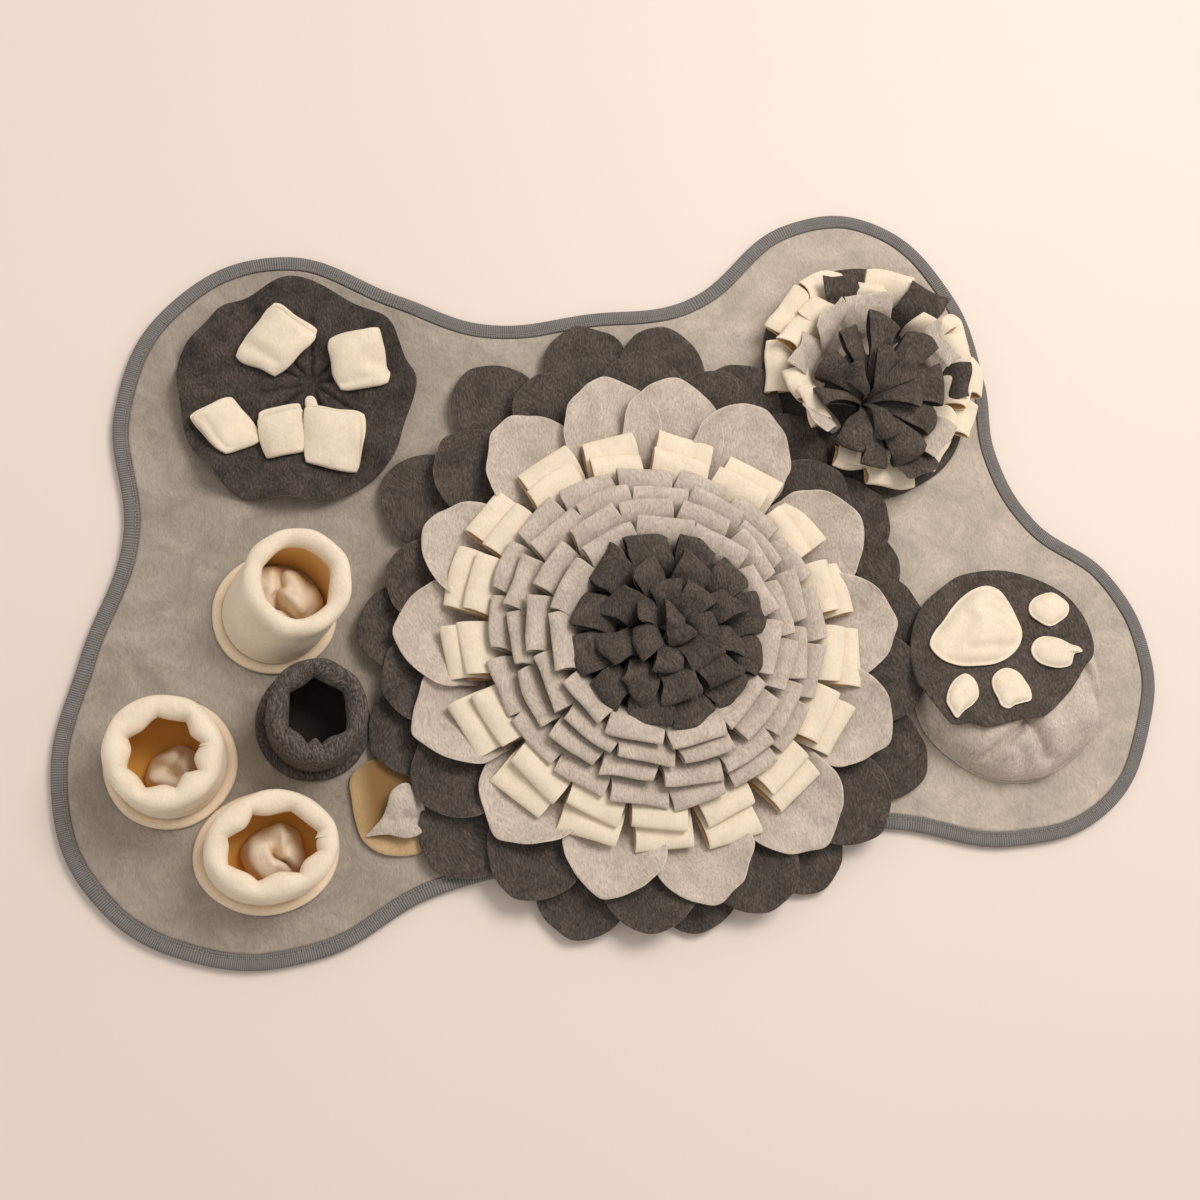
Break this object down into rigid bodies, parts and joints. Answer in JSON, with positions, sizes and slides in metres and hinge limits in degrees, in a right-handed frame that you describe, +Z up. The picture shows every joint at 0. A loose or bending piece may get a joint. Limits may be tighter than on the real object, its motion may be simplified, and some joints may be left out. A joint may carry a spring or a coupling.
{
  "type": "snuffle mat",
  "caption": "Bone-shaped padded fleece mat with a strip-and-petal flower, smiling face, pompom, paw pouch and gathered cups for hiding dog treats.",
  "frame": {"origin": "on the flat underside, under the middle of the mat", "axes": "+X along the mat's length, +Y towards the two lobes with the face and the pompom, +Z up out of the mat"},
  "size_m": [0.8758, 0.5756, 0.0792],
  "materials": {
    "taupe_velour": "soft mottled taupe velour, short nap",
    "ribbed_tape": "dark grey ribbed polyester binding tape, stitched along its inner edge",
    "charcoal_fleece": "matt charcoal fleece",
    "light_grey_fleece": "matt warm light grey fleece",
    "cream_fleece": "matt cream fleece",
    "tan_fleece": "matt tan fleece"
  },
  "bodies": {
    "root": {"mat_pad": "taupe_velour", "edge_binding": "ribbed_tape", "petals_dark_low": "charcoal_fleece", "petals_dark_high": "charcoal_fleece", "petals_light": "light_grey_fleece", "loops_cream_low": "cream_fleece", "loops_cream_high": "cream_fleece", "loops_grey_1": "light_grey_fleece", "loops_grey_2": "light_grey_fleece", "loops_grey_3": "light_grey_fleece", "loops_grey_4": "light_grey_fleece", "tuft_outer": "charcoal_fleece", "tuft_inner": "charcoal_fleece", "face_disc": "charcoal_fleece", "eye_left": "cream_fleece", "eye_right": "cream_fleece", "mouth_left": "cream_fleece", "mouth_middle": "cream_fleece", "mouth_right": "cream_fleece", "pom_disc": "charcoal_fleece", "pom_cream": "cream_fleece", "pom_dark": "charcoal_fleece", "pom_light": "light_grey_fleece", "pom_centre_outer": "charcoal_fleece", "pom_centre_inner": "charcoal_fleece", "paw_pouch": "light_grey_fleece", "paw_disc": "charcoal_fleece", "paw_palm": "cream_fleece", "paw_toe_1": "cream_fleece", "paw_toe_2": "cream_fleece", "paw_toe_3": "cream_fleece", "paw_toe_4": "cream_fleece", "cup_a_base": "cream_fleece", "cup_a_wall": "cream_fleece", "cup_a_fold": "cream_fleece", "cup_b_base": "cream_fleece", "cup_b_wall": "cream_fleece", "cup_b_fold": "cream_fleece", "cup_c_base": "cream_fleece", "cup_c_wall": "cream_fleece", "cup_c_fold": "cream_fleece", "cup_d_base": "charcoal_fleece", "cup_d_wall": "charcoal_fleece", "pocket_back": "tan_fleece", "pocket_fold": "light_grey_fleece"}
  },
  "joints": []
}
